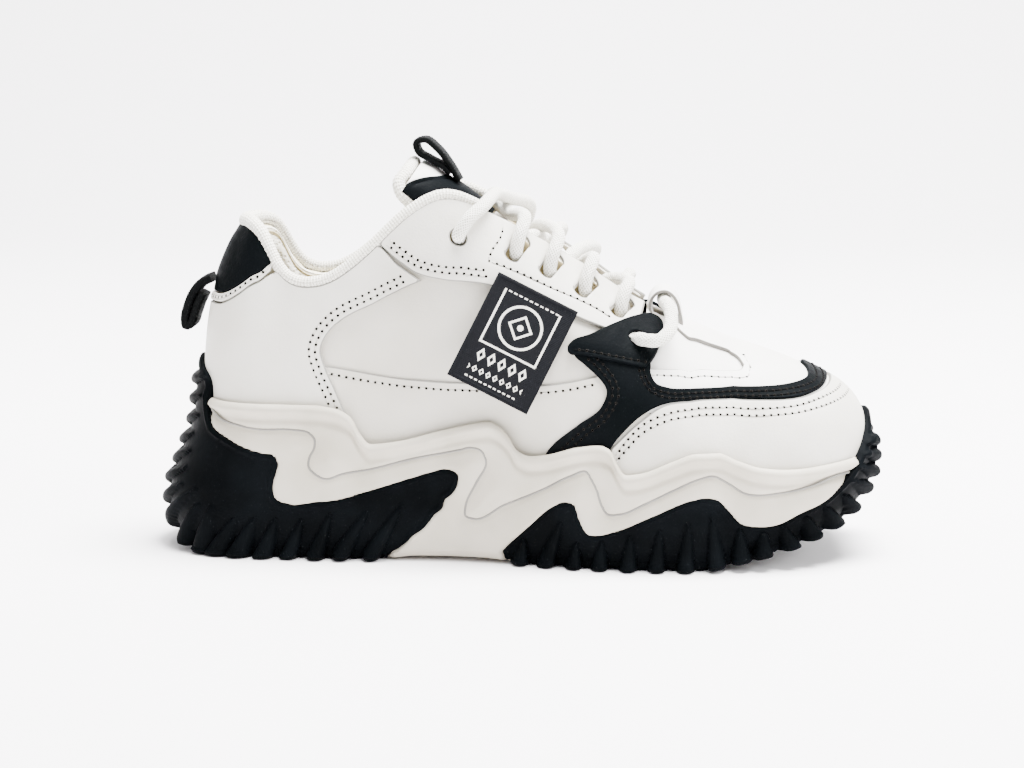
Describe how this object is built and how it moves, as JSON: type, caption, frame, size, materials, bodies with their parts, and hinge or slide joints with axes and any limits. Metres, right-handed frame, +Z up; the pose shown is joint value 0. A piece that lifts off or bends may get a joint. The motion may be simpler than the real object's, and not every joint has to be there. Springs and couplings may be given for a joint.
{
  "type": "sneaker",
  "caption": "Chunky-soled lace-up sneaker for the right foot, with padded tongue and collar, pull loops and a loose woven side label.",
  "frame": {"origin": "centre of the bounding box in plan, at the height of the lowest point of the outsole", "axes": "+X from heel to toe, +Y to the medial (inner) side of the right foot, +Z up"},
  "size_m": [0.2873, 0.1101, 0.1631],
  "materials": {
    "outsole_rubber": "matt moulded rubber",
    "midsole_foam": "matt moulded foam",
    "board": "matt fibre board",
    "lining_mesh": "beige spacer mesh",
    "white_leather": "smooth, slightly grained",
    "cream_leather": "smooth, slightly grained",
    "black_leather": "smooth, slightly grained",
    "knit": "ribbed knit",
    "webbing": "woven webbing",
    "lace_cord": "round braid",
    "aglet": "clear film",
    "label_weave": "woven, off-white pattern",
    "padding": "open-cell foam"
  },
  "bodies": {
    "shoe": {"outsole_heel": "outsole_rubber", "outsole_forefoot": "outsole_rubber", "midsole": "midsole_foam", "insole_board": "board", "sockliner": "lining_mesh", "heel_counter": "board", "toe_puff": "board", "vamp": "white_leather", "vamp_facing": "white_leather", "lace_keeper": "white_leather", "toe_mudguard": "white_leather", "toe_band": "black_leather", "lateral_sweep": "black_leather", "medial_sweep": "black_leather", "lateral_lace_lobe": "black_leather", "medial_lace_lobe": "black_leather", "lateral_side_panel": "cream_leather", "medial_side_panel": "cream_leather", "lateral_lower_panel": "cream_leather", "medial_lower_panel": "cream_leather", "heel_overlay": "white_leather", "heel_trim": "white_leather", "heel_tab": "black_leather", "lateral_collar_panel": "white_leather", "medial_collar_panel": "white_leather", "lateral_eyestay": "cream_leather", "medial_eyestay": "cream_leather", "collar_binding": "knit", "collar_foam": "padding", "quarter_lining": "lining_mesh", "vamp_lining": "lining_mesh", "lace": "lace_cord", "lace_tips": "aglet"},
    "tongue": {"tongue_foam": "padding", "tongue_face": "white_leather", "tongue_panel": "black_leather", "tongue_top_patch": "white_leather", "tongue_knit": "knit", "tongue_lining": "lining_mesh"},
    "tongue_loop": {"tongue_pull_loop": "webbing"},
    "heel_loop": {"heel_pull_loop": "webbing"},
    "label": {"woven_label": "label_weave"}
  },
  "joints": [
    {"name": "tongue_hinge", "type": "hinge", "parent": "shoe", "child": "tongue", "pos_m": [0.05, 0, 0.083], "axis": [0, 1, 0], "range_deg": [-3, 0], "stiffness_Nm_per_rad": 0.5},
    {"name": "tongue_loop_hinge", "type": "hinge", "parent": "tongue", "child": "tongue_loop", "pos_m": [-0.0265, 0, 0.1495], "axis": [0, 1, 0], "range_deg": [0, 60]},
    {"name": "heel_loop_hinge", "type": "hinge", "parent": "shoe", "child": "heel_loop", "pos_m": [-0.123, 0, 0.1068], "axis": [0, 1, 0], "range_deg": [0, 90]},
    {"name": "label_hinge", "type": "hinge", "parent": "shoe", "child": "label", "pos_m": [-0.006, -0.0382, 0.1135], "axis": [0.8926, 0, -0.4508], "range_deg": [-75, 0]}
  ]
}
